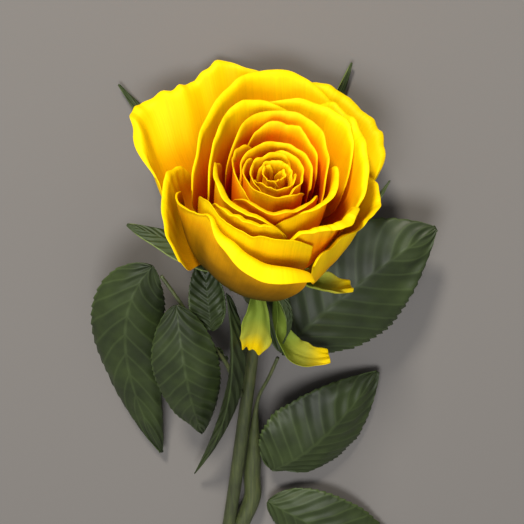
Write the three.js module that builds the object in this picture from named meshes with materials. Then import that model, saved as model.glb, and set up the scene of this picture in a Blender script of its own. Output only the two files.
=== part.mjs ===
import * as THREE from "three";

// One cut rose lying on its side on a level surface, in millimetres, +Z up.
// The stem runs along Y: the cut end is toward -Y and the bloom toward +Y.

// ---- driving dimensions ----
const headRadius = 50;          // reach of the widest petal, measured square to the bloom's axis
const headHeight = 50;          // from the foot of the petals to the highest inner rim
const bloomPitch = 26.4;        // degrees the bloom's axis points above level
const bloomSwing = 5.8;         // degrees the bloom's axis points to the right of +Y
const stemDiameter = 5.4;
const stemLength = 226;         // from the foot of the petals to the cut end, along Y
const hipDiameter = 12.6;
const petalThickness = 0.5;
const leafThickness = 0.5;
const leafScale = 1;            // size of every leaflet
const gap = 0.35;               // free space between neighbouring pieces

const hipHeight = 0.58 * headRadius;    // height of the petals' foot above the surface
const stemRadius = stemDiameter / 2;
const hipRadius = hipDiameter / 2;
const degree = Math.PI / 180;

// ---- the bloom's own frame: x to the right, y toward the back, z along the axis ----
const hipPoint = new THREE.Vector3(0, 0, hipHeight);
const bloomAxis = new THREE.Vector3(
  Math.sin(bloomSwing * degree) * Math.cos(bloomPitch * degree),
  Math.cos(bloomSwing * degree) * Math.cos(bloomPitch * degree),
  Math.sin(bloomPitch * degree),
);
const bloomBack = new THREE.Vector3(1, 0, 0).cross(bloomAxis).negate().normalize();
const bloomRight = new THREE.Vector3().crossVectors(bloomBack, bloomAxis);

function fromBloom(x, y, z) {
  return hipPoint.clone()
    .addScaledVector(bloomRight, x)
    .addScaledVector(bloomBack, y)
    .addScaledVector(bloomAxis, z);
}

// Points beside the head and beside the stem are given in millimetres from the spot on the surface
// under the foot of the petals, for a head of this radius on a stem of these sizes. They move with
// the head or with the stem when those change, and leaves spread out as they grow.
const drawnHeadRadius = 50;
const drawnStemLength = 226;
const drawnStemDiameter = 5.4;
const drawnHipHeight = 0.58 * drawnHeadRadius;

function besideHead([x, y, z]) {
  return new THREE.Vector3(x, y, z - drawnHipHeight)
    .multiplyScalar(headRadius / drawnHeadRadius)
    .add(hipPoint);
}

// How far the stem's middle has swung to the left at a distance down from the foot of the petals.
const stemSway = (y) => 0.112 * stemLength * (Math.max(0, -y) / stemLength) ** 1.3;

function besideStem([x, y, z]) {
  const run = stemLength / drawnStemLength;
  const middle = -stemSway(y * run);
  const aside = x * run - middle;
  const swelling = Math.sign(aside) * (stemRadius - drawnStemDiameter / 2);
  return new THREE.Vector3(
    middle + aside * leafScale + swelling,
    y * run,
    (z * hipHeight) / drawnHipHeight,
  );
}

// ---- materials: one colour to each kind of tissue ----
const colours = {
  petal: 0xffc400,
  guard: 0xb9b42a,
  sepal: 0x3f5c26,
  leaf: 0x33451f,
  stem: 0x4a5a2c,
};

const group = new THREE.Group();
group.name = "cut_rose";

function addPiece(name, positions, triangles, tissue) {
  const geometry = new THREE.BufferGeometry();
  geometry.setAttribute("position", new THREE.Float32BufferAttribute(positions.flat(), 3));
  geometry.setIndex(triangles.flat());
  geometry.computeVertexNormals();
  const material = new THREE.MeshStandardMaterial({ color: colours[tissue], roughness: 0.6 });
  const mesh = new THREE.Mesh(geometry, material);
  mesh.name = name;
  group.add(mesh);
}

const mix = (a, b, t) => a + (b - a) * t;
const ease = (t) => t * t * (3 - 2 * t);
const clamp = (t) => Math.min(1, Math.max(0, t));

// A thin sheet: surface(u, v) gives the middle of the sheet for u from -1 to 1 and v from 0 to 1.
function addSheet(name, surface, columns, rows, thickness, tissue) {
  const step = 1e-3;
  const faces = [[], []];
  for (let j = 0; j <= rows; j += 1) {
    for (let i = 0; i <= columns; i += 1) {
      const u = -1 + (2 * i) / columns;
      const v = j / rows;
      const across = surface(Math.min(1, u + step), v).sub(surface(Math.max(-1, u - step), v));
      const along = surface(u, Math.min(1, v + step)).sub(surface(u, Math.max(0, v - step)));
      const normal = across.cross(along).normalize();
      const middle = surface(u, v);
      faces[0].push(middle.clone().addScaledVector(normal, thickness / 2).toArray());
      faces[1].push(middle.clone().addScaledVector(normal, -thickness / 2).toArray());
    }
  }
  const width = columns + 1;
  const back = faces[0].length;
  const triangles = [];
  for (let j = 0; j < rows; j += 1) {
    for (let i = 0; i < columns; i += 1) {
      const a = j * width + i;
      const b = a + 1;
      const c = a + width;
      const d = c + 1;
      triangles.push([a, b, d], [a, d, c]);
      triangles.push([back + a, back + d, back + b], [back + a, back + c, back + d]);
    }
  }
  // The rim: one strip of quads all the way round the edge.
  const rim = [];
  for (let i = 0; i < columns; i += 1) rim.push(i);
  for (let j = 0; j < rows; j += 1) rim.push(j * width + columns);
  for (let i = columns; i > 0; i -= 1) rim.push(rows * width + i);
  for (let j = rows; j > 0; j -= 1) rim.push(j * width);
  rim.forEach((a, k) => {
    const b = rim[(k + 1) % rim.length];
    triangles.push([a, back + b, b], [a, back + a, back + b]);
  });
  addPiece(name, faces.flat(), triangles, tissue);
}

// A round rod along a curve: radiusAt(t) gives its radius, t from 0 at the start to 1 at the end.
function addRod(name, curve, radiusAt, rings, sides, tissue) {
  const positions = [];
  const triangles = [];
  const frames = curve.computeFrenetFrames(rings, false);
  for (let k = 0; k <= rings; k += 1) {
    const centre = curve.getPointAt(k / rings);
    for (let i = 0; i < sides; i += 1) {
      const angle = (2 * Math.PI * i) / sides;
      positions.push(centre.clone()
        .addScaledVector(frames.normals[k], radiusAt(k / rings) * Math.cos(angle))
        .addScaledVector(frames.binormals[k], radiusAt(k / rings) * Math.sin(angle))
        .toArray());
    }
  }
  for (let k = 0; k < rings; k += 1) {
    for (let i = 0; i < sides; i += 1) {
      const a = k * sides + i;
      const b = k * sides + ((i + 1) % sides);
      triangles.push([a, b, b + sides], [a, b + sides, a + sides]);
    }
  }
  const first = positions.push(curve.getPointAt(0).toArray()) - 1;
  const last = positions.push(curve.getPointAt(1).toArray()) - 1;
  for (let i = 0; i < sides; i += 1) {
    const next = (i + 1) % sides;
    triangles.push([first, next, i], [last, rings * sides + i, rings * sides + next]);
  }
  addPiece(name, positions, triangles, tissue);
}

// ---- stem with the hip swelling at its top, grown in one ----
const stemPoint = (share, z) => new THREE.Vector3(-stemSway(-share * stemLength), -share * stemLength, z);
const stemCurve = new THREE.CatmullRomCurve3([
  fromBloom(0, 0, -gap),
  fromBloom(0, 0, -5),
  fromBloom(0, 0, -12),
  stemPoint(0.2, hipHeight * 0.5),
  stemPoint(0.39, hipHeight * 0.34),
  stemPoint(0.62, hipHeight * 0.22),
  stemPoint(1, stemRadius * 1.12),
]);
const stemRun = stemCurve.getLength();

function stemRadiusAt(t) {
  const down = t * stemRun;
  const shoulder = mix(0.72, 1, ease(clamp(down / 3.5)));
  const hip = ease(clamp((16 - down) / 11));
  const neck = mix(0.8, 1, ease(clamp(down / (0.5 * stemRun))));
  return mix(stemRadius * neck, hipRadius * shoulder, hip);
}
addRod("stem_with_hip", stemCurve, stemRadiusAt, 30, 12, "stem");

// ---- petals ----
// belly: radius of the wall at mid height, as a share of the head's radius.
// curl: how far the rim rolls outward, in degrees; droop: how far the corners drop.
// rim: from the clockwise corner to the other, the places the rim passes through. Each is
// [azimuth in degrees (0 right, 90 back), reach as a share of the head's radius, rise as a share of
// the head's height, length of the rolled lip in millimetres].
const petals = [
  {
    name: "petal_outer_back_left", belly: 0.66, curl: 55, droop: 0.04,
    rim: [
      [68, 0.84, 0.72, 2], [92, 0.88, 0.86, 3], [112, 0.98, 0.84, 3], [126, 0.97, 0.79, 3],
      [140, 1.05, 0.73, 4], [152, 0.97, 0.69, 4], [164, 0.79, 0.62, 3],
    ],
  },
  {
    name: "petal_outer_left", belly: 0.6, curl: 60, droop: 0.1,
    rim: [
      [152, 0.62, 0.62, 1], [168, 0.68, 0.66, 2.5], [186, 0.69, 0.58, 2.5], [208, 0.67, 0.42, 1],
    ],
  },
  {
    name: "petal_outer_back_right", belly: 0.62, curl: 105, droop: 0.02,
    rim: [
      [23, 0.81, 0.68, 2], [34, 0.85, 0.77, 4], [46, 0.84, 0.83, 4], [62, 0.84, 0.88, 4], [82, 0.88, 0.95, 2],
    ],
  },
  {
    name: "petal_outer_front", belly: 0.585, curl: 125, droop: 0.03,
    rim: [
      [168, 0.62, 0.62, 1], [186, 0.6, 0.66, 0.8], [199, 0.53, 0.72, 0.8], [210, 0.47, 0.79, 1.5],
      [234, 0.49, 0.77, 6.5], [264, 0.52, 0.72, 9], [297, 0.53, 0.66, 6],
    ],
  },
  {
    name: "petal_outer_right", belly: 0.548, curl: 70, droop: 0.03,
    rim: [
      [-58, 0.5, 0.64, 2], [-34, 0.52, 0.68, 3], [-14, 0.61, 0.66, 2.5], [4, 0.71, 0.64, 2],
      [26, 0.75, 0.68, 2],
    ],
  },
  {
    name: "petal_middle_back", belly: 0.53, curl: 70, droop: 0.03,
    rim: [
      [42, 0.75, 0.8, 1], [62, 0.79, 0.89, 2], [84, 0.8, 0.96, 3], [106, 0.74, 0.98, 3],
      [132, 0.61, 0.95, 3], [158, 0.52, 0.89, 2], [176, 0.51, 0.8, 1],
    ],
  },
  {
    name: "petal_middle_right", belly: 0.482, curl: 70, droop: 0.03,
    rim: [
      [-7, 0.575, 0.84, 2], [18, 0.6, 0.9, 3.5], [42, 0.67, 0.92, 3.5], [60, 0.71, 0.91, 2.5],
      [78, 0.71, 0.84, 1],
    ],
  },
  {
    name: "petal_middle_front", belly: 0.495, curl: 50, droop: 0.03,
    rim: [
      [178, 0.47, 0.72, 0.5], [200, 0.45, 0.84, 1], [224, 0.45, 0.85, 1.5], [246, 0.45, 0.85, 1.5],
      [268, 0.44, 0.86, 1.5], [304, 0.46, 0.84, 0.5],
    ],
  },
  {
    name: "petal_middle_front_right", belly: 0.44, curl: 95, droop: 0.03,
    rim: [
      [-76, 0.4, 0.87, 2.5], [-54, 0.44, 0.88, 4.5], [-32, 0.5, 0.87, 5], [-9, 0.54, 0.83, 2],
    ],
  },
  {
    name: "petal_inner_back_right", belly: 0.456, curl: 60, droop: 0.03,
    rim: [
      [14, 0.51, 0.82, 1], [34, 0.6, 0.91, 2], [48, 0.62, 0.94, 3], [66, 0.6, 0.96, 3],
      [92, 0.575, 0.97, 1.5], [112, 0.57, 0.95, 1],
    ],
  },
  {
    name: "petal_inner_back_left", belly: 0.43, curl: 70, droop: 0.03,
    rim: [
      [64, 0.5, 0.95, 1], [88, 0.52, 0.98, 2], [106, 0.53, 1, 2.5], [122, 0.52, 1, 2.5],
      [140, 0.46, 0.98, 2.5], [162, 0.415, 0.94, 1.5], [186, 0.4, 0.84, 1],
    ],
  },
  {
    name: "petal_inner_front", belly: 0.424, curl: 65, droop: 0.03,
    rim: [
      [198, 0.4, 0.82, 1], [228, 0.398, 0.905, 2], [256, 0.385, 0.91, 2], [282, 0.372, 0.86, 1],
    ],
  },
  {
    name: "petal_inner_front_left", belly: 0.382, curl: 70, droop: 0.03,
    rim: [
      [150, 0.375, 0.86, 1], [172, 0.375, 0.94, 2], [196, 0.365, 0.94, 3], [224, 0.35, 0.93, 3],
      [256, 0.345, 0.92, 2], [284, 0.352, 0.87, 1],
    ],
  },
  {
    name: "petal_inner_front_right", belly: 0.354, curl: 70, droop: 0.03,
    rim: [
      [-96, 0.318, 0.87, 1], [-72, 0.325, 0.93, 2], [-48, 0.345, 0.94, 3.5], [-18, 0.365, 0.94, 3.5],
      [8, 0.385, 0.95, 2], [26, 0.4, 0.87, 1],
    ],
  },
  {
    name: "petal_fold_back", belly: 0.328, curl: 60, droop: 0.03,
    rim: [
      [-30, 0.325, 0.89, 0.6], [0, 0.325, 0.97, 1], [28, 0.36, 0.99, 2], [54, 0.42, 1, 2],
      [76, 0.46, 1, 2], [104, 0.44, 1, 2], [136, 0.345, 0.98, 1.5], [160, 0.323, 0.9, 0.6],
    ],
  },
  {
    name: "petal_fold_front", belly: 0.3, curl: 60, droop: 0.03,
    rim: [
      [204, 0.283, 0.91, 0.8], [232, 0.29, 0.95, 2], [262, 0.297, 0.95, 2.5], [290, 0.297, 0.95, 2.5],
      [320, 0.288, 0.955, 1.5], [346, 0.283, 0.91, 0.8],
    ],
  },
  {
    name: "petal_fold_right", belly: 0.283, curl: 60, droop: 0.03,
    rim: [
      [14, 0.285, 0.96, 0.8], [42, 0.315, 0.98, 1.5], [72, 0.36, 0.99, 1.5], [100, 0.36, 0.985, 1.5],
      [126, 0.32, 0.975, 0.8],
    ],
  },
  {
    name: "petal_fold_left", belly: 0.262, curl: 60, droop: 0.03,
    rim: [
      [118, 0.285, 0.975, 0.8], [142, 0.285, 0.98, 1.5], [166, 0.275, 0.98, 1.5],
      [190, 0.262, 0.975, 1.5], [220, 0.25, 0.96, 1], [246, 0.25, 0.91, 0.6],
    ],
  },
];

// The heart of the bloom: petals wound round each other, each a little inside the last, and each
// drawn in at its anticlockwise corner so that its neighbour can wrap round it.
const heartPetals = 8;
const heartStep = 137.5;        // degrees from one petal to the next
const heartSpread = 104;        // degrees from the middle of a petal to its corner
for (let k = 0; k < heartPetals; k += 1) {
  const share = k / (heartPetals - 1);
  const radius = mix(0.234, 0.05, share);
  const rise = mix(0.98, 0.94, share);
  const azimuth = 95 + heartStep * k;
  petals.push({
    name: `petal_heart_${k + 1}`,
    belly: radius,
    curl: 30,
    droop: 0.05,
    rim: [-1, 0, 1].map((side) => [
      azimuth + side * heartSpread, radius * (0.96 - 0.03 * side), rise, 0.8,
    ]),
  });
}

const footOuter = new THREE.Vector2(hipRadius * 0.9, 0.3);
const footInner = new THREE.Vector2(hipRadius * 0.16, petals.length * petalThickness * 0.5);

// A value on a smooth curve through the rows of a list, u from -1 at the first to 1 at the last.
function alongRim(rim, u, column) {
  const spans = rim.length - 1;
  const place = clamp((u + 1) / 2) * spans;
  const k = Math.min(Math.floor(place), spans - 1);
  const s = place - k;
  const value = (row) => rim[Math.min(Math.max(row, 0), spans)][column];
  const [a, b, c, d] = [value(k - 1), value(k), value(k + 1), value(k + 2)];
  return b + 0.5 * s * (c - a + s * (2 * a - 5 * b + 4 * c - d + s * (3 * (b - c) + d - a)));
}

function petalSurface(petal, rank) {
  const foot = footOuter.clone().lerp(footInner, rank);
  const belly = petal.belly * headRadius;
  const azimuthMiddle = (petal.rim[0][0] + petal.rim[petal.rim.length - 1][0]) / 2;
  const lipMost = Math.max(...petal.rim.map((row) => row[3]));
  return (u, v) => {
    const azimuth = alongRim(petal.rim, u, 0);
    const reach = alongRim(petal.rim, u, 1) * headRadius;
    const top = alongRim(petal.rim, u, 2) * headHeight;
    const lip = alongRim(petal.rim, u, 3);
    const wall = new THREE.CubicBezierCurve(
      foot,
      new THREE.Vector2(mix(foot.x, belly, 0.9), foot.y + 0.02 * top),
      new THREE.Vector2(belly, mix(foot.y, top, 0.5)),
      new THREE.Vector2(reach, top),
    );
    const lipShare = lipMost / (lipMost + headHeight * 0.9);
    const wallEnd = 1 - petal.droop * Math.abs(u) ** 2.6;
    const t = wallEnd * Math.min(1, v / (1 - lipShare));
    const point = wall.getPoint(t);
    const rolled = clamp((v - 1 + lipShare) / lipShare);
    if (rolled > 0) {
      const heading = wall.getTangent(t);
      const start = Math.atan2(heading.y, heading.x);
      const turn = petal.curl * degree;
      const bend = lip / turn;
      point.x += bend * (Math.sin(start) - Math.sin(start - turn * rolled));
      point.y += bend * (Math.cos(start - turn * rolled) - Math.cos(start));
    }
    const spread = mix(0.03, 1, ease(clamp(t / 0.8)));
    const arc = (azimuth - azimuthMiddle) * degree * reach * spread;
    const angle = azimuthMiddle * degree + arc / Math.max(Math.min(point.x, reach), foot.x);
    return fromBloom(point.x * Math.cos(angle), point.x * Math.sin(angle), point.y);
  };
}

petals.forEach((petal, k) => {
  const rank = k / (petals.length - 1);
  addSheet(petal.name, petalSurface(petal, rank), 10, 9, petalThickness, "petal");
});

// ---- sepals: five, growing from the widest part of the hip ----
// Each runs from the hip through a middle point to its tip; side is the direction its width takes.
const sepalLength = 1;          // share of their full length every sepal reaches
const sepalThickness = 0.7;

// A blade runs along a curve from base through bend to tip. profile(v) is its half width as a share
// of the full half width; fold lifts both halves into a V, in degrees.
function bladeSurface(blade, halfWidth, profile) {
  const spine = new THREE.QuadraticBezierCurve3(blade.base, blade.bend, blade.tip);
  return (u, v) => {
    const along = spine.getTangent(v);
    const side = blade.side.clone().addScaledVector(along, -blade.side.dot(along)).normalize();
    const up = side.clone().cross(along).normalize();
    const reach = u * halfWidth * profile(v);
    const fold = blade.fold * degree;
    const cup = (blade.cup ?? 0) * Math.sin(Math.PI * v) * (u * u - 0.3);
    return spine.getPoint(v)
      .addScaledVector(side, reach * Math.cos(fold))
      .addScaledVector(up, Math.abs(reach) * Math.sin(fold) + cup);
  };
}

const sepals = [
  { name: "sepal_back_left", azimuth: 128, width: 12, bend: [-29, 24, -0.5], tip: [-50, 54, 2.4] },
  { name: "sepal_back_right", azimuth: 62, width: 9, bend: [20, 25, -3], tip: [31, 62, 2.4] },
  { name: "sepal_right", azimuth: 350, width: 9, bend: [31, 3, 25], tip: [44, 27, 23] },
  { name: "sepal_left", azimuth: 200, width: 15, bend: [-31, 9, 35], tip: [-47, 12, 27] },
  { name: "sepal_front", azimuth: 284, width: 3.5, bend: [14, -15, 42], tip: [7.5, -33, 34] },
];
const sepalProfile = (v) => mix(0.3, 1, ease(clamp(v / 0.3))) * mix(1, 0.1, clamp((v - 0.3) / 0.7) ** 1.3);

sepals.forEach((sepal) => {
  const angle = sepal.azimuth * degree;
  const base = fromBloom(
    (hipRadius + gap + sepalThickness) * Math.cos(angle),
    (hipRadius + gap + sepalThickness) * Math.sin(angle),
    -3,
  );
  const blade = {
    base,
    bend: base.clone().lerp(besideHead(sepal.bend), sepalLength),
    tip: base.clone().lerp(besideHead(sepal.tip), sepalLength),
    side: fromBloom(-Math.sin(angle), Math.cos(angle), 0).sub(hipPoint),
    fold: 12,
  };
  addSheet(sepal.name, bladeSurface(blade, sepal.width / 2, sepalProfile), 4, 7, sepalThickness, "sepal");
});

// ---- guard petals: short outermost petals, greenish, turned back from the foot of the bloom ----
const guards = [
  { name: "guard_petal_front_left", azimuth: 254, width: 12, bend: [1, -16, 45], tip: [-3.5, -37, 32] },
  { name: "guard_petal_front_right", azimuth: 318, width: 10, bend: [1, -46, 31], tip: [25, -43, 28] },
  { name: "guard_petal_right", azimuth: 347, width: 9, bend: [16, -6, 43], tip: [31, -6, 39] },
];
const guardProfile = (v) => mix(0.25, 1, ease(clamp(v / 0.7))) * mix(1, 0.75, clamp((v - 0.8) / 0.2));

guards.forEach((guard) => {
  const angle = guard.azimuth * degree;
  const blade = {
    base: fromBloom((hipRadius + 0.8) * Math.cos(angle), (hipRadius + 0.8) * Math.sin(angle), -0.9),
    bend: besideHead(guard.bend),
    tip: besideHead(guard.tip),
    side: fromBloom(-Math.sin(angle), Math.cos(angle), 0).sub(hipPoint),
    fold: -14,
  };
  addSheet(guard.name, bladeSurface(blade, guard.width / 2, guardProfile), 4, 7, petalThickness, "guard");
});

// ---- leaves: stalks off the stem, each carrying toothed leaflets ----
const stalkRadius = 0.9;
const leafTeeth = 7;            // to each side of a leaflet
const toothDepth = 0.05;        // as a share of the half width

// A stalk leaves the stem at a share of the stem's run. Its root is stipule times as thick as the
// rest, over a share of its length called sheath.
function addStalk(name, startOnStem, stipule, sheath, ...points) {
  const start = stemCurve.getPointAt(startOnStem);
  const places = points.map(besideStem);
  const along = stemCurve.getTangentAt(startOnStem);
  const away = places[0].clone().sub(start);
  away.addScaledVector(along, -away.dot(along)).normalize();
  const root = start.addScaledVector(away, stemRadius + stalkRadius * stipule + gap);
  const curve = new THREE.CatmullRomCurve3([root, ...places]);
  const radiusAt = (t) => stalkRadius * mix(stipule, 0.75, ease(clamp((t - sheath) * 2.2)));
  addRod(name, curve, radiusAt, points.length * 4, 8, "stem");
}

const leafProfile = (v) => {
  const outline = Math.sin(Math.PI * v ** 0.8) ** 0.75;
  return Math.max(0.045, outline);
};

function addLeaflet(name, width, fold, cup, side, base, bend, tip) {
  const foot = besideStem(base);
  const reach = ([x, y, z]) => foot.clone()
    .add(new THREE.Vector3((x - base[0]) * leafScale, (y - base[1]) * leafScale, z - base[2]));
  const blade = {
    base: foot,
    bend: reach(bend),
    tip: reach(tip),
    side: new THREE.Vector3(...side).normalize(),
    fold,
    cup,
  };
  const rows = leafTeeth * 2;
  const toothed = (v) => {
    const row = v * rows;
    const wave = Math.abs(row - 2 * Math.round(row / 2));
    return leafProfile(v) * (1 - toothDepth * (1 - wave));
  };
  addSheet(name, bladeSurface(blade, (width * leafScale) / 2, toothed), 4, rows, leafThickness, "leaf");
}

// Left leaf: four leaflets on a stalk that rises beside the bloom.
addStalk("stalk_left", 0.32, 1.5, 0, [-14, -50, 21], [-24, -32, 25], [-31, -18, 26.2], [-36, -9.4, 26.2]);
addLeaflet(
  "leaflet_left_end", 28, 8, 4, [1, -0.35, 0], [-38.5, -4, 28.5], [-62, -30, 25], [-41.5, -107, 4.5],
);
addLeaflet("leaflet_left_inner", 26, 10, 3, [1, 0.2, 0], [-30.8, -20, 28.8], [-28, -56, 37], [-24, -94, 8]);
addLeaflet("leaflet_left_back", 14, 10, 2, [1, 0, 0.1], [-18.5, -33, 25.3], [-20, -18, 27], [-21, -5, 17]);
addLeaflet("leaflet_left_small", 10, 10, 1, [0.8, 0.1, 0.6], [-19.5, -44, 19], [-20, -52, 17], [-14, -60, 6]);

// Upper leaf: one narrow folded leaflet hanging from just below the bloom.
addStalk("stalk_upper", 0.1, 1.5, 0, [-8, -14, 29], [-11, -10.5, 33.5]);
addLeaflet("leaflet_upper", 18, 70, 0, [1, 0, 0.3], [-12.5, -11, 36], [-5.5, -62, 38], [-27.8, -116, 7]);

// Lower leaf: a stalk with a broad sheath that runs up beside the stem, two leaflets at its sides
// resting near the surface and one at its end, behind the bloom.
addStalk(
  "stalk_lower", 0.64, 4, 0.3,
  [-4, -130, 5], [-4.2, -119, 5], [-3.4, -105, 6], [-3, -92, 8.5],
  [-1.5, -73, 13.5], [3, -59, 17.5], [6, -49.6, 19],
);
addLeaflet("leaflet_lower_end", 50, 8, 4, [-0.7, 0.7, -0.05], [7, -47, 19.5], [30, -12, 28], [62.5, 4.5, 16]);
addLeaflet("leaflet_lower_upper", 43, 8, 4, [-0.7, 0.7, 0.25], [4, -112, 9.5], [22, -95, 20], [46, -67, 3.5]);
addLeaflet("leaflet_lower_side", 34, 8, 3, [0.2, 1, 0.1], [2.5, -133, 5], [25, -142, 13], [64, -172, 2]);

// The origin is the middle of the underside of the box round the whole rose.
const box = new THREE.Box3().setFromObject(group);
group.position.set(
  -(box.min.x + box.max.x) / 2,
  -(box.min.y + box.max.y) / 2,
  -box.min.z,
);
group.updateMatrixWorld(true);

export default group;
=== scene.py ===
import bisect
import math

import bmesh
import bpy
from mathutils import Matrix, Vector, noise


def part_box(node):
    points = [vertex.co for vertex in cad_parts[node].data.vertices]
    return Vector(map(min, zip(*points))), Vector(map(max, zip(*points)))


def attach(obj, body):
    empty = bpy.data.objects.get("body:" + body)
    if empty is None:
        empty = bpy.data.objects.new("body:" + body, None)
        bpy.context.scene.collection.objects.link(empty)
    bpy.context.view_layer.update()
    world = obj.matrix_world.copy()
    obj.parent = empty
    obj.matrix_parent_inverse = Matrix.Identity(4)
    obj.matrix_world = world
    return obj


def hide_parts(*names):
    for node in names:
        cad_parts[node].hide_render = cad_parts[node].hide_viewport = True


# A cut rose lying on its side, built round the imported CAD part. Metres throughout; mm is one millimetre.
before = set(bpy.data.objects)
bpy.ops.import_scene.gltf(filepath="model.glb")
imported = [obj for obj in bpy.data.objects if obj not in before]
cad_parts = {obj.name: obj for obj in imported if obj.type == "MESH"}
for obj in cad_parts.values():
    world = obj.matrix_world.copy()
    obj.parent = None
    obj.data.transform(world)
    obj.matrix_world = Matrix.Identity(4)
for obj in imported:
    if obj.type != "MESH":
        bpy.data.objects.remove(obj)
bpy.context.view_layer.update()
mm = 0.001

# ---------------------------------------------------------------- the stem and the hip
# A green woody stem, round, that swells into the hip at its top. The hip carries the sepals and
# all the petals. The other end is cut square and left plain.
stem_low, stem_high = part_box("stem_with_hip")
# How far the hip's shoulder reaches to the right of the foot of the petals, past it and above it.
hip_overhang = Vector((4.917, 1.713, 3.903)) * mm
foot = stem_high - hip_overhang
bloom_pitch = math.radians(26.4)
bloom_swing = math.radians(5.8)
bloom_axis = Vector((
    math.sin(bloom_swing) * math.cos(bloom_pitch),
    math.cos(bloom_swing) * math.cos(bloom_pitch),
    math.sin(bloom_pitch),
))
bloom_back = -Vector((1, 0, 0)).cross(bloom_axis).normalized()
bloom_right = bloom_back.cross(bloom_axis)


def from_bloom(x, y, z):
    """A point given in the bloom's own frame: x right, y back, z along its axis."""
    return foot + bloom_right * x + bloom_back * y + bloom_axis * z


def mix(a, b, t):
    return a + (b - a) * t


def clamp(t):
    return min(1.0, max(0.0, t))


def ease(t):
    t = clamp(t)
    return t * t * (3 - 2 * t)


def colour(hex_text):
    """Linear colour of an sRGB hex."""
    parts = [int(hex_text[i:i + 2], 16) / 255 for i in (1, 3, 5)]
    linear = [c / 12.92 if c <= 0.04045 else ((c + 0.055) / 1.055) ** 2.4 for c in parts]
    return (*linear, 1.0)


def add_node(tree, kind, links=None, **settings):
    """Adds a node; settings are its properties, links its inputs: a socket or a plain value."""
    node = tree.nodes.new(kind)
    for name, value in settings.items():
        setattr(node, name, value)
    for name, value in (links or {}).items():
        socket = node.inputs[name]
        if isinstance(value, bpy.types.NodeSocket):
            tree.links.new(value, socket)
        else:
            socket.default_value = value
    return node


def new_material(name):
    """An empty material with its output node; returns both and the node tree."""
    material = bpy.data.materials.new(name)
    material.use_nodes = True
    tree = material.node_tree
    tree.nodes.clear()
    output = tree.nodes.new("ShaderNodeOutputMaterial")
    return material, tree, output


def add_ramp(tree, factor, stops):
    """A colour ramp; stops are (place, hex) pairs."""
    ramp = add_node(tree, "ShaderNodeValToRGB", {"Fac": factor})
    elements = ramp.color_ramp.elements
    while len(elements) < len(stops):
        elements.new(0.5)
    for element, (place, hex_text) in zip(elements, stops):
        element.position = place
        element.color = colour(hex_text)
    return ramp.outputs["Color"]


def green_bark():
    """Living green bark, smooth and a little waxy: fine lengthwise streaks and a brownish blush."""
    streaks_across = 1.4 / mm
    streaks_along = 0.09 / mm
    blotches = 0.045 / mm
    material, tree, output = new_material("green bark")
    place = add_node(tree, "ShaderNodeTexCoord").outputs["Object"]
    stretched = add_node(tree, "ShaderNodeMapping", {
        "Vector": place, "Scale": (streaks_across, streaks_along, streaks_across)})
    streaks = add_node(tree, "ShaderNodeTexNoise", {"Vector": stretched.outputs[0], "Scale": 1.0,
                                                    "Detail": 4.0})
    blotch = add_node(tree, "ShaderNodeTexNoise", {"Vector": place, "Scale": blotches, "Detail": 3.0})
    both = add_node(tree, "ShaderNodeMath", {0: streaks.outputs["Fac"], 1: blotch.outputs["Fac"]},
                    operation="ADD")
    half = add_node(tree, "ShaderNodeMath", {0: both.outputs[0], 1: 0.5}, operation="MULTIPLY")
    tint = add_ramp(tree, half.outputs[0], [(0.3, "#262A17"), (0.5, "#3A4222"), (0.62, "#4B502B"),
                                            (0.75, "#4A3A26")])
    bump = add_node(tree, "ShaderNodeBump", {"Height": streaks.outputs["Fac"], "Strength": 0.25,
                                             "Distance": 0.3 * mm})
    skin = add_node(tree, "ShaderNodeBsdfPrincipled", {
        "Base Color": tint, "Roughness": 0.5, "Subsurface Weight": 0.1,
        "Subsurface Radius": (0.6, 1.0, 0.3), "Subsurface Scale": 1 * mm,
        "Normal": bump.outputs[0]})
    tree.links.new(skin.outputs[0], output.inputs["Surface"])
    return material


bark = green_bark()


def finish_piece(name, bm, material, cad_node, thickness=0.0, smoothing=0):
    """Turns a bmesh into an object, gives it its material, hangs it on the root body and hides the CAD
    part it stands for.
    """
    mesh = bpy.data.meshes.new(name)
    bm.to_mesh(mesh)
    bm.free()
    mesh.polygons.foreach_set("use_smooth", [True] * len(mesh.polygons))
    mesh.materials.append(material)
    piece = bpy.data.objects.new(name, mesh)
    bpy.context.scene.collection.objects.link(piece)
    if thickness:
        solid = piece.modifiers.new("thickness", "SOLIDIFY")
        solid.thickness = thickness
        solid.offset = 0
    if smoothing:
        fine = piece.modifiers.new("smoothing", "SUBSURF")
        fine.levels = smoothing
        fine.render_levels = smoothing
    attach(piece, "root")
    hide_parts(cad_node)
    return piece


def bezier(points, t):
    """A point on a Bezier curve of any degree."""
    row = list(points)
    while len(row) > 1:
        row = [a.lerp(b, t) for a, b in zip(row, row[1:])]
    return row[0]


def even_curve(points):
    """The smooth curve through all the points, as a function of the share of its length."""
    ends = [2 * points[0] - points[1]] + list(points) + [2 * points[-1] - points[-2]]
    samples = []
    for a, b, c, d in zip(ends, ends[1:], ends[2:], ends[3:]):
        before, here, after = ((q - p).length ** 0.5 for p, q in ((a, b), (b, c), (c, d)))
        leave = ((b - a) / before - (c - a) / (before + here) + (c - b) / here) * here
        arrive = ((c - b) / here - (d - b) / (here + after) + (d - c) / after) * here
        for k in range(40):
            s = k / 40
            samples.append(b + leave * s + (3 * (c - b) - 2 * leave - arrive) * s * s
                           + (2 * (b - c) + leave + arrive) * s ** 3)
    samples.append(points[-1])
    runs = [0.0]
    for p, q in zip(samples, samples[1:]):
        runs.append(runs[-1] + (q - p).length)

    def at(share):
        goal = clamp(share) * runs[-1]
        k = min(bisect.bisect_right(runs, goal), len(samples) - 1)
        return samples[k - 1].lerp(samples[k], (goal - runs[k - 1]) / (runs[k] - runs[k - 1]))

    return at, runs[-1]


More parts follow.
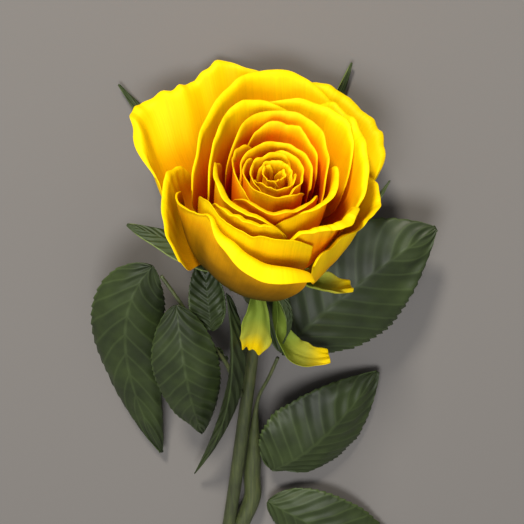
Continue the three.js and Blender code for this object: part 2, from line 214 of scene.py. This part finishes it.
def rod(curve, radius_at, rings, sides):
    """A round rod along a curve, made by extruding a circle ring by ring and closing both ends."""
    bm = bmesh.new()
    ring = bmesh.ops.create_circle(bm, cap_ends=True, segments=sides, radius=1)["verts"]
    shape = [v.co.copy() for v in ring]

    def place(verts, t):
        ahead = curve(t + 0.01) - curve(t - 0.01)
        turn = ahead.to_track_quat("Z", "X").to_matrix()
        for vert, co in zip(verts, shape):
            vert.co = curve(t) + turn @ (co * radius_at(t))

    def ring_edges(verts):
        wanted = set(verts)
        return [edge for edge in bm.edges if edge.verts[0] in wanted and edge.verts[1] in wanted]

    place(ring, 0)
    for k in range(1, rings + 1):
        grown = bmesh.ops.extrude_edge_only(bm, edges=ring_edges(ring))["geom"]
        fresh = {item for item in grown if isinstance(item, bmesh.types.BMVert)}
        ring = [next(edge.other_vert(old) for edge in old.link_edges if edge.other_vert(old) in fresh)
                for old in ring]
        place(ring, k / rings)
    bmesh.ops.contextual_create(bm, geom=ring_edges(ring))
    bmesh.ops.recalc_face_normals(bm, faces=bm.faces)
    return bm


hip_radius = 6.3 * mm
stem_radius = hip_radius * 3 / 7
# The rim of the cut passes the end of the stem's middle line by this much.
cut_overhang = 0.371 * mm
# Heights are given from a level this much under the rose's lowest point.
level_drop = 0.094 * mm
stem_length = foot.y - stem_low.y - cut_overhang
hip_height = foot.z + level_drop
floor_shift = foot - Vector((0, 0, hip_height))


def on_table(x, y, z):
    """A point given in millimetres from the spot under the foot of the petals, at that level."""
    return floor_shift + Vector((x, y, z)) * mm


def stem_point(share, height):
    """A place on the stem's middle line, at a share of the way to the cut end."""
    return floor_shift + Vector((-0.112 * stem_length * share ** 1.3, -share * stem_length, height))


stem_points = [
    from_bloom(0, 0, -0.35 * mm),
    from_bloom(0, 0, -5 * mm),
    from_bloom(0, 0, -12 * mm),
    stem_point(0.2, hip_height * 0.5),
    stem_point(0.39, hip_height * 0.34),
    stem_point(0.62, hip_height * 0.22),
    stem_point(1, stem_radius * 1.12),
]
stem_curve, stem_run = even_curve(stem_points)


def stem_radius_at(t):
    """The stem's radius at a share of its length: the hip's shoulder, the hip, the neck and the stem."""
    down = t * stem_run
    shoulder = mix(0.72, 1, ease(down / (3.5 * mm)))
    hip = ease((16 * mm - down) / (11 * mm))
    neck = mix(0.8, 1, ease(down / (0.5 * stem_run)))
    return mix(stem_radius * neck, hip_radius * shoulder, hip)


finish_piece("stem", rod(stem_curve, stem_radius_at, 120, 28), bark, "stem_with_hip")

# ---------------------------------------------------------------- the petals
# Thin living tissue, bright yellow at the rim and warmer and darker toward the foot: the gold and orange
# are partly the petal's own colour, and the dark olive, brown and red low ends are painted shade down in
# the bloom. Each petal is held by its narrow foot on the top of the hip, every rim is rolled outward, and
# the list runs from the outermost to the heart.
head_radius = hip_height / 0.58
head_height = head_radius
petal_thickness = 0.36 * mm


def petal_tissue(name, stops):
    """Living petal tissue, matt and velvety: a colour that runs from the foot to the rim, fine veins
    from foot to rim that catch the light, and a warm glow where light comes through the sheet."""
    veins_across = 110
    veins_along = 2.5
    clouds_per_metre = 0.09 / mm
    material, tree, output = new_material(name)
    sheet = add_node(tree, "ShaderNodeUVMap", uv_map="sheet").outputs[0]
    split = add_node(tree, "ShaderNodeSeparateXYZ", {0: sheet})
    stretched = add_node(tree, "ShaderNodeMapping", {
        "Vector": sheet, "Scale": (veins_across, veins_along, 1)})
    veins = add_node(tree, "ShaderNodeTexNoise", {"Vector": stretched.outputs[0], "Scale": 1.0,
                                                  "Detail": 3.0, "Roughness": 0.6})
    place = add_node(tree, "ShaderNodeTexCoord").outputs["Object"]
    clouds = add_node(tree, "ShaderNodeTexNoise", {"Vector": place, "Scale": clouds_per_metre,
                                                   "Detail": 3.0})
    drift = add_node(tree, "ShaderNodeMath", {0: clouds.outputs["Fac"], 1: 0.2, 2: -0.1},
                     operation="MULTIPLY_ADD")
    along = add_node(tree, "ShaderNodeMath", {0: split.outputs["Y"], 1: drift.outputs[0]},
                     operation="ADD")
    # The colour runs along the sheet from foot to rim. For the yellow petals the stops darken toward the
    # foot, and that dark low end is painted shade.
    tint = add_ramp(tree, along.outputs[0], stops)
    vein_tint = add_node(tree, "ShaderNodeMapRange", {"Value": veins.outputs["Fac"], "From Min": 0.35,
                                                      "From Max": 0.7, "To Min": 0.92, "To Max": 1.03})
    veined = add_node(tree, "ShaderNodeVectorMath", {0: tint, "Scale": vein_tint.outputs[0]},
                      operation="SCALE")
    bump = add_node(tree, "ShaderNodeBump", {"Height": veins.outputs["Fac"], "Strength": 0.35,
                                             "Distance": 0.25 * mm})
    skin = add_node(tree, "ShaderNodeBsdfPrincipled", {
        "Base Color": veined.outputs[0], "Roughness": 0.6, "Specular IOR Level": 0.12,
        "Normal": bump.outputs[0]})
    glow = add_node(tree, "ShaderNodeBsdfTranslucent", {"Color": veined.outputs[0],
                                                        "Normal": bump.outputs[0]})
    blend = add_node(tree, "ShaderNodeMixShader", {"Fac": 0.27, 1: skin.outputs[0],
                                                   2: glow.outputs[0]})
    tree.links.new(blend.outputs[0], output.inputs["Surface"])
    return material


# Tissues for the yellow petals: their darkest stops near the foot are painted shade in the bloom's depths
# and creases, and the warm gold and orange above them is partly the petal's own colour and partly painted
# shade.
outer_tissue = petal_tissue("lemon petal tissue", [
    (0.10, "#5E4A08"), (0.36, "#C88000"), (0.60, "#F6B400"), (0.80, "#F8CE00"), (0.97, "#FCDC00")])
inner_tissue = petal_tissue("golden petal tissue", [
    (0.12, "#80741C"), (0.34, "#C88A10"), (0.50, "#FF8000"),
    (0.72, "#FFAA00"), (0.86, "#FFCC00"), (0.95, "#FFE000")])
# A darker copy of the petal tissue for the front petal: its near-black and brown lower half is painted
# shade on the outside that faces away from the key light.
front_petal_painted_shade_tissue = petal_tissue("front petal tissue with painted shade", [
    (0.15, "#2A2A08"), (0.42, "#4E3E00"), (0.60, "#8E6200"), (0.76, "#DC9C00"), (0.92, "#FFDC00")])
heart_tissue = petal_tissue("orange petal tissue", [
    (0.40, "#A82800"), (0.74, "#E85000"), (0.86, "#FF8C00"), (0.92, "#FFB400"), (0.965, "#FFD400")])


def grid_sheet(surface, columns, rows):
    """A sheet from a flat grid, each point moved to surface(u, v), u from -1 to 1 and v from 0 to 1."""
    bm = bmesh.new()
    bm.loops.layers.uv.new("sheet")
    bmesh.ops.create_grid(bm, x_segments=columns, y_segments=rows, size=1, calc_uvs=True)
    for vert in bm.verts:
        vert.co = surface(vert.co.x, (vert.co.y + 1) / 2)
    bmesh.ops.recalc_face_normals(bm, faces=bm.faces)
    return bm


def along_rim(rim, u):
    """Azimuth, reach, rise and lip at u, on a smooth curve through the rim's rows."""
    spans = len(rim) - 1
    place = clamp((u + 1) / 2) * spans
    k = min(int(place), spans - 1)
    s = place - k
    a, b, c, d = (Vector(rim[min(max(row, 0), spans)]) for row in range(k - 1, k + 3))
    return b + 0.5 * s * (c - a + s * (2 * a - 5 * b + 4 * c - d + s * (3 * (b - c) + d - a)))


def petal_surface(petal, rank, seed):
    """The middle of a petal's sheet as a function of u across and v from foot to rim."""
    foot_r = mix(foot_outer[0], foot_inner[0], rank)
    foot_h = mix(foot_outer[1], foot_inner[1], rank)
    belly = petal["belly"] * head_radius
    middle = (petal["rim"][0][0] + petal["rim"][-1][0]) / 2
    lip_most = max(row[3] for row in petal["rim"]) * mm
    lip_share = lip_most / (lip_most + head_height * 0.9)
    turn = math.radians(petal["curl"])
    widest_roll = 2.2 * mm
    wave = petal["wave"] * mm

    def surface(u, v):
        azimuth, reach, rise, lip = along_rim(petal["rim"], u)
        reach *= head_radius
        top = rise * head_height
        lip *= mm
        wall = [Vector((foot_r, foot_h)),
                Vector((mix(foot_r, belly, 0.9), foot_h + 0.02 * top)),
                Vector((belly, mix(foot_h, top, 0.5))),
                Vector((reach, top))]
        # The rim dips at the petal's corners, sways along its length and is finely frilled.
        wall_end = 1 - 0.11 * abs(u) ** 5
        wall_end += 0.02 * noise.noise((u * 4.5, seed * 3.1, 0.0))
        wall_end += petal["wave"] * 0.013 * noise.noise((u * 13.0, seed * 3.1, 5.0))
        t = wall_end * min(1, v / (1 - lip_share))
        point = bezier(wall, t)
        # Past the wall the sheet rolls outward round an arc and then runs straight.
        rolled = clamp((v - 1 + lip_share) / lip_share)
        if rolled > 0:
            ahead = bezier(wall, t + 0.01) - bezier(wall, t - 0.01)
            start = math.atan2(ahead.y, ahead.x)
            run = rolled * lip
            fold = min(lip / turn, widest_roll)
            arc = min(run, fold * turn)
            angle = arc / fold
            point.x += fold * (math.sin(start) - math.sin(start - angle))
            point.y += fold * (math.cos(start - angle) - math.cos(start))
            point.x += (run - arc) * math.cos(start - angle)
            point.y += (run - arc) * math.sin(start - angle)
        # Long waves, shorter ripples and a few sharp creases grow from mid height to the rim.
        high = ease((t - 0.4) / 0.6)
        ripple = noise.noise((u * 2.2 + seed * 7.3, v * 1.4, seed * 1.7))
        ripple += 0.5 * noise.noise((u * 6.0 + seed * 3.3, v * 2.2, seed * 2.9)) * (0.4 + v)
        crease = 0.5 - abs(noise.noise((u * 3.2 + seed * 5.1, v * 1.1, seed * 4.3))) * 2
        point.x += wave * high * (1.3 * ripple + 0.5 * crease)
        point.y += wave * high * 1.1 * noise.noise((u * 4.2 - seed, 5.0, v))
        # The sheet wraps round the bloom's axis and narrows to its foot.
        spread = mix(0.03, 1, ease(t / 0.8))
        arc_run = math.radians(azimuth - middle) * reach * spread
        angle = math.radians(middle) + arc_run / max(min(point.x, reach), foot_r)
        return from_bloom(point.x * math.cos(angle), point.x * math.sin(angle), point.y)

    return surface


# Each petal's rim passes through rows of azimuth in degrees, reach and rise as shares of the head,
# and the length of the rolled lip in millimetres. belly is the wall's reach at mid height, curl how
# far the rim rolls outward in degrees, and wave how strongly the sheet ripples.
petals = [
    dict(name="petal_outer_back_left", belly=0.66, curl=55, wave=2.4,
         rim=[(68, 0.84, 0.72, 2), (92, 0.88, 0.86, 3), (112, 0.98, 0.84, 3), (126, 0.97, 0.79, 3),
              (140, 1.05, 0.73, 4), (152, 0.97, 0.69, 4), (164, 0.79, 0.62, 3)]),
    dict(name="petal_outer_left", belly=0.6, curl=60, wave=0.6,
         rim=[(152, 0.62, 0.62, 1), (168, 0.68, 0.66, 2.5), (186, 0.69, 0.58, 2.5),
              (208, 0.67, 0.42, 1)]),
    dict(name="petal_outer_back_right", belly=0.62, curl=105, wave=0.8,
         rim=[(23, 0.81, 0.68, 2), (34, 0.85, 0.77, 4), (46, 0.84, 0.83, 4), (62, 0.84, 0.88, 4),
              (82, 0.88, 0.95, 2)]),
    dict(name="petal_outer_front", belly=0.585, curl=125, wave=0.6,
         rim=[(168, 0.62, 0.62, 1), (186, 0.6, 0.66, 0.8), (199, 0.53, 0.72, 0.8),
              (210, 0.47, 0.79, 1.5), (234, 0.49, 0.77, 6.5), (264, 0.52, 0.72, 9),
              (297, 0.53, 0.66, 6)]),
    dict(name="petal_outer_right", belly=0.548, curl=70, wave=0.9,
         rim=[(-58, 0.5, 0.64, 2), (-34, 0.52, 0.68, 3), (-14, 0.61, 0.66, 2.5), (4, 0.71, 0.64, 2),
              (26, 0.75, 0.68, 2)]),
    dict(name="petal_middle_back", belly=0.53, curl=70, wave=0.8,
         rim=[(42, 0.75, 0.8, 1), (62, 0.79, 0.89, 2), (84, 0.8, 0.96, 3), (106, 0.74, 0.98, 3),
              (132, 0.61, 0.95, 3), (158, 0.52, 0.89, 2), (176, 0.51, 0.8, 1)]),
    dict(name="petal_middle_right", belly=0.482, curl=70, wave=0.6,
         rim=[(-7, 0.575, 0.84, 2), (18, 0.6, 0.9, 3.5), (42, 0.67, 0.92, 3.5),
              (60, 0.71, 0.91, 2.5), (78, 0.71, 0.84, 1)]),
    dict(name="petal_middle_front", belly=0.495, curl=50, wave=0.5,
         rim=[(178, 0.47, 0.72, 0.5), (200, 0.45, 0.84, 1), (224, 0.45, 0.85, 1.5),
              (246, 0.45, 0.85, 1.5), (268, 0.44, 0.86, 1.5), (304, 0.46, 0.84, 0.5)]),
    dict(name="petal_middle_front_right", belly=0.44, curl=95, wave=0.6,
         rim=[(-76, 0.4, 0.87, 2.5), (-54, 0.44, 0.88, 4.5), (-32, 0.5, 0.87, 5),
              (-9, 0.54, 0.83, 2)]),
    dict(name="petal_inner_back_right", belly=0.456, curl=60, wave=0.5,
         rim=[(14, 0.51, 0.82, 1), (34, 0.6, 0.91, 2), (48, 0.62, 0.94, 3), (66, 0.6, 0.96, 3),
              (92, 0.575, 0.97, 1.5), (112, 0.57, 0.95, 1)]),
    dict(name="petal_inner_back_left", belly=0.43, curl=70, wave=0.5,
         rim=[(64, 0.5, 0.95, 1), (88, 0.52, 0.98, 2), (106, 0.53, 1, 2.5), (122, 0.52, 1, 2.5),
              (140, 0.46, 0.98, 2.5), (162, 0.415, 0.94, 1.5), (186, 0.4, 0.84, 1)]),
    dict(name="petal_inner_front", belly=0.424, curl=65, wave=0.45,
         rim=[(198, 0.4, 0.82, 1), (228, 0.398, 0.905, 4), (256, 0.385, 0.91, 4),
              (282, 0.372, 0.86, 1.5)]),
    dict(name="petal_inner_front_left", belly=0.382, curl=70, wave=0.45,
         rim=[(150, 0.375, 0.86, 1), (172, 0.375, 0.94, 2), (196, 0.365, 0.94, 3.5),
              (224, 0.35, 0.93, 4.5), (256, 0.345, 0.92, 4), (284, 0.352, 0.87, 1.5)]),
    dict(name="petal_inner_front_right", belly=0.354, curl=70, wave=0.45,
         rim=[(-96, 0.318, 0.87, 1), (-72, 0.325, 0.93, 2), (-48, 0.345, 0.94, 3.5),
              (-18, 0.365, 0.94, 3.5), (8, 0.385, 0.95, 2), (26, 0.4, 0.87, 1)]),
    dict(name="petal_fold_back", belly=0.328, curl=60, wave=0.45,
         rim=[(-30, 0.325, 0.89, 0.6), (0, 0.325, 0.97, 1), (28, 0.36, 0.99, 2), (54, 0.42, 1, 2),
              (76, 0.46, 1, 2), (104, 0.44, 1, 2), (136, 0.345, 0.98, 1.5), (160, 0.323, 0.9, 0.6)]),
    dict(name="petal_fold_front", belly=0.3, curl=60, wave=0.4,
         rim=[(204, 0.283, 0.91, 0.8), (232, 0.29, 0.95, 3), (262, 0.297, 0.95, 4),
              (290, 0.297, 0.95, 4), (320, 0.288, 0.955, 2.5), (346, 0.283, 0.91, 0.8)]),
    dict(name="petal_fold_right", belly=0.283, curl=60, wave=0.4,
         rim=[(14, 0.285, 0.96, 0.8), (42, 0.315, 0.98, 1.5), (72, 0.36, 0.99, 1.5),
              (100, 0.36, 0.985, 1.5), (126, 0.32, 0.975, 0.8)]),
    dict(name="petal_fold_left", belly=0.262, curl=60, wave=0.4,
         rim=[(118, 0.285, 0.975, 0.8), (142, 0.285, 0.98, 1.5), (166, 0.275, 0.98, 1.5),
              (190, 0.262, 0.975, 1.5), (220, 0.25, 0.96, 1), (246, 0.25, 0.91, 0.6)]),
]
heart_count = 8
for k in range(heart_count):
    share = k / (heart_count - 1)
    radius = mix(0.234, 0.05, share)
    rise = mix(0.98, 0.94, share)
    azimuth = 95 + 137.5 * k
    petals.append(dict(
        name=f"petal_heart_{k + 1}", belly=radius, curl=85, wave=0.6,
        rim=[(azimuth + side * 104, radius * (0.94 - 0.03 * side), rise, 1.2) for side in (-1, 0, 1)]))

foot_outer = (hip_radius * 0.9, 0.3 * mm)
foot_inner = (hip_radius * 0.16, len(petals) * 0.25 * mm)
for k, petal in enumerate(petals):
    bm = grid_sheet(petal_surface(petal, k / (len(petals) - 1), k + 1.0), 48, 44)
    tissue = inner_tissue
    if "outer" in petal["name"]:
        tissue = outer_tissue
    if "heart" in petal["name"] or "fold" in petal["name"]:
        tissue = heart_tissue
    # The front petal takes the copy with painted shade on its lower outside.
    if petal["name"] == "petal_outer_front":
        tissue = front_petal_painted_shade_tissue
    finish_piece(petal["name"].replace("_", "-"), bm, tissue, petal["name"],
                 petal_thickness, 1)

# ---------------------------------------------------------------- the sepals
# Five leafy green sepals with paler edges, growing from the widest part of the hip and turned back.
def blade_surface(blade, half_width, profile):
    """The middle of a blade that runs from base through bend to tip; side is where its width goes."""
    spine = [blade["base"], blade["bend"], blade["tip"]]
    fold = math.radians(blade["fold"])

    def surface(u, v):
        ahead = (bezier(spine, min(1, v + 0.01)) - bezier(spine, max(0, v - 0.01))).normalized()
        side = (blade["side"] - ahead * blade["side"].dot(ahead)).normalized()
        up = side.cross(ahead).normalized()
        reach = u * half_width * profile(u, v)
        cup = blade.get("cup", 0) * mm * math.sin(math.pi * v) * (u * u - 0.3)
        ripple = blade.get("wave", 0) * mm * noise.noise((u * 2.0 + reach * 40, v * 5.0, blade["seed"]))
        return (bezier(spine, v) + side * reach * math.cos(fold)
                + up * (abs(reach) * math.sin(fold) + cup + ripple * abs(u)))

    return surface


def leaf_tissue(name, dark, light, vein, edge, gloss):
    """Living leaf tissue with a waxy skin, so a soft gloss over dull green: a pale midrib, side veins
    that run to the margin and stand in low ridges, a fine grain and a paler edge."""
    vein_rhythm = 62.0
    vein_slant = 0.22
    clouds_per_metre = 0.06 / mm
    grain_per_metre = 1.5 / mm
    material, tree, output = new_material(name)
    sheet = add_node(tree, "ShaderNodeUVMap", uv_map="sheet").outputs[0]
    split = add_node(tree, "ShaderNodeSeparateXYZ", {0: sheet})
    across = add_node(tree, "ShaderNodeMath", {0: split.outputs["X"], 1: 2.0, 2: -1.0},
                      operation="MULTIPLY_ADD")
    away = add_node(tree, "ShaderNodeMath", {0: across.outputs[0]}, operation="ABSOLUTE")
    slope = add_node(tree, "ShaderNodeMath", {0: away.outputs[0], 1: -vein_slant, 2: split.outputs["Y"]},
                     operation="MULTIPLY_ADD")
    rhythm = add_node(tree, "ShaderNodeMath", {0: slope.outputs[0], 1: vein_rhythm},
                      operation="MULTIPLY")
    swing = add_node(tree, "ShaderNodeMath", {0: rhythm.outputs[0]}, operation="SINE")
    side_vein = add_node(tree, "ShaderNodeMapRange", {"Value": swing.outputs[0], "From Min": 0.82,
                                                      "From Max": 1.0})
    midrib = add_node(tree, "ShaderNodeMapRange", {"Value": away.outputs[0], "From Min": 0.055,
                                                   "From Max": 0.02})
    veins = add_node(tree, "ShaderNodeMath", {0: midrib.outputs[0], 1: side_vein.outputs[0]},
                     operation="MAXIMUM")
    place = add_node(tree, "ShaderNodeTexCoord").outputs["Object"]
    clouds = add_node(tree, "ShaderNodeTexNoise", {"Vector": place, "Scale": clouds_per_metre,
                                                   "Detail": 5.0})
    tint = add_ramp(tree, clouds.outputs["Fac"], [(0.35, dark), (0.65, light)])
    share = add_node(tree, "ShaderNodeMath", {0: veins.outputs[0], 1: 0.16}, operation="MULTIPLY")
    veined = add_node(tree, "ShaderNodeMix", {"Factor": share.outputs[0], "A": tint,
                                              "B": colour(vein)}, data_type="RGBA")
    margin = add_node(tree, "ShaderNodeMapRange", {"Value": away.outputs[0], "From Min": 0.93,
                                                   "From Max": 1.0})
    edged = add_node(tree, "ShaderNodeMix", {"Factor": margin.outputs[0], "A": veined.outputs[2],
                                             "B": colour(edge)}, data_type="RGBA")
    bump = add_node(tree, "ShaderNodeBump", {"Height": swing.outputs[0], "Strength": 0.5,
                                             "Distance": 0.4 * mm})
    grain = add_node(tree, "ShaderNodeTexNoise", {"Vector": place, "Scale": grain_per_metre,
                                                  "Detail": 2.0})
    fine = add_node(tree, "ShaderNodeBump", {"Height": grain.outputs["Fac"], "Strength": 0.15,
                                             "Distance": 0.1 * mm, "Normal": bump.outputs[0]})
    skin = add_node(tree, "ShaderNodeBsdfPrincipled", {
        "Base Color": edged.outputs[2], "Roughness": gloss, "Specular IOR Level": 0.4,
        "Normal": fine.outputs[0]})
    glow = add_node(tree, "ShaderNodeBsdfTranslucent", {"Color": edged.outputs[2]})
    blend = add_node(tree, "ShaderNodeMixShader", {"Fac": 0.12, 1: skin.outputs[0],
                                                   2: glow.outputs[0]})
    tree.links.new(blend.outputs[0], output.inputs["Surface"])
    return material


sepal_tissue = leaf_tissue("sepal tissue", "#28361A", "#414F2A", "#4A5C2E", "#6E7E42", 0.6)
sepal_thickness = 0.6 * mm


def sepal_profile(u, v):
    return mix(0.3, 1, ease(v / 0.3)) * mix(1, 0.06, clamp((v - 0.3) / 0.7) ** 1.3)


sepals = [
    dict(name="sepal_back_left", azimuth=128, width=12, bend=(-29, 24, -0.5), tip=(-50, 54, 2.4)),
    dict(name="sepal_back_right", azimuth=62, width=9, bend=(20, 25, -3), tip=(31, 62, 2.4)),
    dict(name="sepal_right", azimuth=350, width=9, bend=(31, 3, 25), tip=(44, 27, 23)),
    dict(name="sepal_left", azimuth=200, width=15, bend=(-31, 9, 35), tip=(-47, 12, 27)),
    dict(name="sepal_front", azimuth=284, width=3.5, bend=(14, -15, 42), tip=(7.5, -33, 34)),
]


def round_the_hip(azimuth, clearance, height):
    """A point beside the hip, and the direction round it there."""
    angle = math.radians(azimuth)
    out = (hip_radius + clearance) * Vector((math.cos(angle), math.sin(angle)))
    base = from_bloom(out.x, out.y, height)
    side = from_bloom(-math.sin(angle), math.cos(angle), 0) - foot
    return base, side


for k, sepal in enumerate(sepals):
    base, side = round_the_hip(sepal["azimuth"], 0.6 * mm, -3 * mm)
    blade = dict(base=base, bend=on_table(*sepal["bend"]), tip=on_table(*sepal["tip"]), side=side,
                 fold=12, wave=1.0, seed=k * 2.3)
    bm = grid_sheet(blade_surface(blade, sepal["width"] * mm / 2, sepal_profile), 12, 40)
    finish_piece(sepal["name"].replace("_", "-"), bm, sepal_tissue, sepal["name"],
                 sepal_thickness, 1)

# ---------------------------------------------------------------- the guard petals
# Three short outermost petals, half green, turned back from the foot of the bloom.
guard_tissue = petal_tissue("greenish petal tissue", [
    (0.1, "#5E7A2A"), (0.5, "#94A840"), (0.76, "#C2C040"), (0.93, "#FFE000")])
guards = [
    dict(name="guard_petal_front_left", azimuth=254, width=12, bend=(1, -16, 45), tip=(-3.5, -37, 32)),
    dict(name="guard_petal_front_right", azimuth=318, width=10, bend=(1, -46, 31), tip=(25, -43, 28)),
    dict(name="guard_petal_right", azimuth=347, width=9, bend=(16, -6, 43), tip=(31, -6, 39)),
]


def guard_profile(u, v):
    ragged = 1 + 0.22 * noise.noise((v * 5.0, 9.0 + (u > 0) * 4.0, 0.0))
    return ragged * mix(0.25, 1, ease(v / 0.7)) * mix(1, 0.6, clamp((v - 0.8) / 0.2))


for k, guard in enumerate(guards):
    base, side = round_the_hip(guard["azimuth"], 0.6 * mm, -0.9 * mm)
    blade = dict(base=base, bend=on_table(*guard["bend"]), tip=on_table(*guard["tip"]), side=side,
                 fold=-22, cup=-3, wave=4.0, seed=20 + k * 1.7)
    bm = grid_sheet(blade_surface(blade, guard["width"] * mm / 2, guard_profile), 16, 30)
    finish_piece(guard["name"].replace("_", "-"), bm, guard_tissue, guard["name"],
                 petal_thickness, 1)

# ---------------------------------------------------------------- the leaves
# Dark green waxy leaflets with toothed margins, on thin stalks that leave the stem at its nodes.
leaf_green = leaf_tissue("rose leaf", "#1F2911", "#303D1A", "#5A6B3C", "#42522A", 0.52)
leaf_thickness = 0.4 * mm
leaf_teeth = 22
stalk_radius = 0.9 * mm


def leaf_profile(u, v):
    outline = max(0.045, math.sin(math.pi * clamp(v) ** 0.8) ** 0.75)
    tooth = (v * leaf_teeth) % 1.0
    notch = 0.055 * (1 - tooth) * ease((abs(u) - 0.75) / 0.25) * ease(v / 0.1)
    return outline * (1 - notch)


def add_leaflet(name, width, fold, cup, side, base, bend, tip):
    """A leaflet that runs from base through bend to tip, folded in degrees and cupped in millimetres."""
    blade = dict(base=on_table(*base), bend=on_table(*bend), tip=on_table(*tip),
                 side=Vector(side).normalized(), fold=fold, cup=cup, wave=2.0, seed=len(name) * 1.3)
    bm = grid_sheet(blade_surface(blade, width * mm / 2, leaf_profile), 24, leaf_teeth * 5)
    finish_piece(name.replace("_", "-"), bm, leaf_green, name, leaf_thickness)


def add_stalk(name, start_on_stem, stipule, sheath, *points):
    """A stalk from a share of the stem's length through the points. stipule is how many times thicker
    it is at its foot, and sheath the share of its length that stays so."""
    places = [on_table(*p) for p in points]
    start = stem_curve(start_on_stem)
    ahead = (stem_curve(start_on_stem + 0.01) - start).normalized()
    away = places[0] - start
    away = (away - ahead * away.dot(ahead)).normalized()
    root = start + away * (stem_radius + stalk_radius * stipule) * 0.9

    def radius_at(t):
        return stalk_radius * mix(stipule, 0.75, ease((t - sheath) * 2.2))

    curve, length = even_curve([root] + places)
    rings = int(length / (0.8 * mm))
    finish_piece(name.replace("_", "-"), rod(curve, radius_at, rings, 16), bark, name)


# Left leaf: four leaflets on a stalk that rises beside the bloom.
add_stalk("stalk_left", 0.32, 1.5, 0,
          (-14, -50, 21), (-24, -32, 25), (-31, -18, 26.2), (-36, -9.4, 26.2))
add_leaflet("leaflet_left_end", 28, 8, 4, (1, -0.35, 0),
            (-38.5, -4, 28.5), (-62, -30, 25), (-41.5, -107, 4.5))
add_leaflet("leaflet_left_inner", 26, 10, 3, (1, 0.2, 0),
            (-30.8, -20, 28.8), (-28, -56, 37), (-24, -94, 8))
add_leaflet("leaflet_left_back", 14, 10, 2, (1, 0, 0.1),
            (-18.5, -33, 25.3), (-20, -18, 27), (-21, -5, 17))
add_leaflet("leaflet_left_small", 10, 10, 1, (0.8, 0.1, 0.6),
            (-19.5, -44, 19), (-20, -52, 17), (-14, -60, 6))
# Upper leaf: one narrow folded leaflet that hangs from just below the bloom.
add_stalk("stalk_upper", 0.1, 1.5, 0, (-8, -14, 29), (-11, -10.5, 33.5))
add_leaflet("leaflet_upper", 18, 70, 0, (1, 0, 0.3),
            (-12.5, -11, 36), (-5.5, -62, 38), (-27.8, -116, 7))
# Lower leaf: a broad sheath runs up beside the stem. Two leaflets reach right, down to the surface,
# and one lies at the stalk's end, behind the bloom.
add_stalk("stalk_lower", 0.64, 4, 0.3,
          (-4, -130, 5), (-4.2, -119, 5), (-3.4, -105, 6), (-3, -92, 8.5),
          (-1.5, -73, 13.5), (3, -59, 17.5), (6, -49.6, 19))
add_leaflet("leaflet_lower_end", 50, 8, 4, (-0.7, 0.7, -0.05),
            (7, -47, 19.5), (30, -12, 28), (62.5, 4.5, 16))
add_leaflet("leaflet_lower_upper", 43, 8, 4, (-0.7, 0.7, 0.25),
            (4, -112, 9.5), (22, -95, 20), (46, -67, 3.5))
add_leaflet("leaflet_lower_side", 34, 8, 3, (0.2, 1, 0.1),
            (2.5, -133, 5), (25, -142, 13), (64, -172, 2))

# ---------------------------------------------------------------- floor, light and camera
# A plain plaster surface, a key light from beyond the bloom, a wide soft fill from above, a dim sky,
# and the camera that looks down on the rose with the bloom at the top of the picture.
material, tree, output = new_material("plain plaster surface")
plaster = add_node(tree, "ShaderNodeBsdfPrincipled", {"Base Color": colour("#6C6967"),
                                                      "Roughness": 0.9})
tree.links.new(plaster.outputs[0], output.inputs["Surface"])
bm = bmesh.new()
bmesh.ops.create_grid(bm, x_segments=1, y_segments=1, size=4)
floor_mesh = bpy.data.meshes.new("floor")
bm.to_mesh(floor_mesh)
bm.free()
floor_mesh.materials.append(material)
floor = bpy.data.objects.new("floor", floor_mesh)
bpy.context.scene.collection.objects.link(floor)

world = bpy.data.worlds.new("soft sky")
bpy.context.scene.world = world
world.use_nodes = True
sky = world.node_tree.nodes["Background"]
sky.inputs["Color"].default_value = colour("#F3F1EC")
sky.inputs["Strength"].default_value = 0.34


def aim(thing, place, target, up):
    """Puts a camera or light at a place, looking at the target, with up toward the picture's top."""
    back = (place - target).normalized()
    right = up.cross(back).normalized()
    turn = Matrix((right, back.cross(right), back)).transposed().to_4x4()
    thing.matrix_world = Matrix.Translation(place) @ turn


def add_lamp(name, place, target, size, power, hex_text):
    lamp = bpy.data.lights.new(name, "AREA")
    lamp.shape = "DISK"
    lamp.size = size
    lamp.energy = power
    lamp.color = colour(hex_text)[:3]
    lamp_object = bpy.data.objects.new(name, lamp)
    bpy.context.scene.collection.objects.link(lamp_object)
    aim(lamp_object, place, target, Vector((0, 0.01, 1)))


heart = from_bloom(0, 0, head_height)
add_lamp("key", heart + Vector((-0.25, 1.1, 0.62)), heart, 0.2, 23, "#FFF8EA")
add_lamp("fill", heart + Vector((-0.2, -0.1, 1.2)), heart, 0.8, 13, "#FFFFFF")

camera_tilt = math.radians(30)
camera_back = Vector((0, math.sin(camera_tilt), math.cos(camera_tilt)))
camera_up = Vector((0, math.cos(camera_tilt), -math.sin(camera_tilt)))
camera_data = bpy.data.cameras.new("camera")
camera_data.sensor_width = 36
camera_data.lens = 82.2
camera = bpy.data.objects.new("camera", camera_data)
bpy.context.scene.collection.objects.link(camera)
camera_place = foot - camera_up * 1.75 * mm + camera_back * 420 * mm
aim(camera, camera_place, camera_place - camera_back, camera_up)
bpy.context.scene.camera = camera
bpy.context.scene.view_settings.view_transform = "Standard"
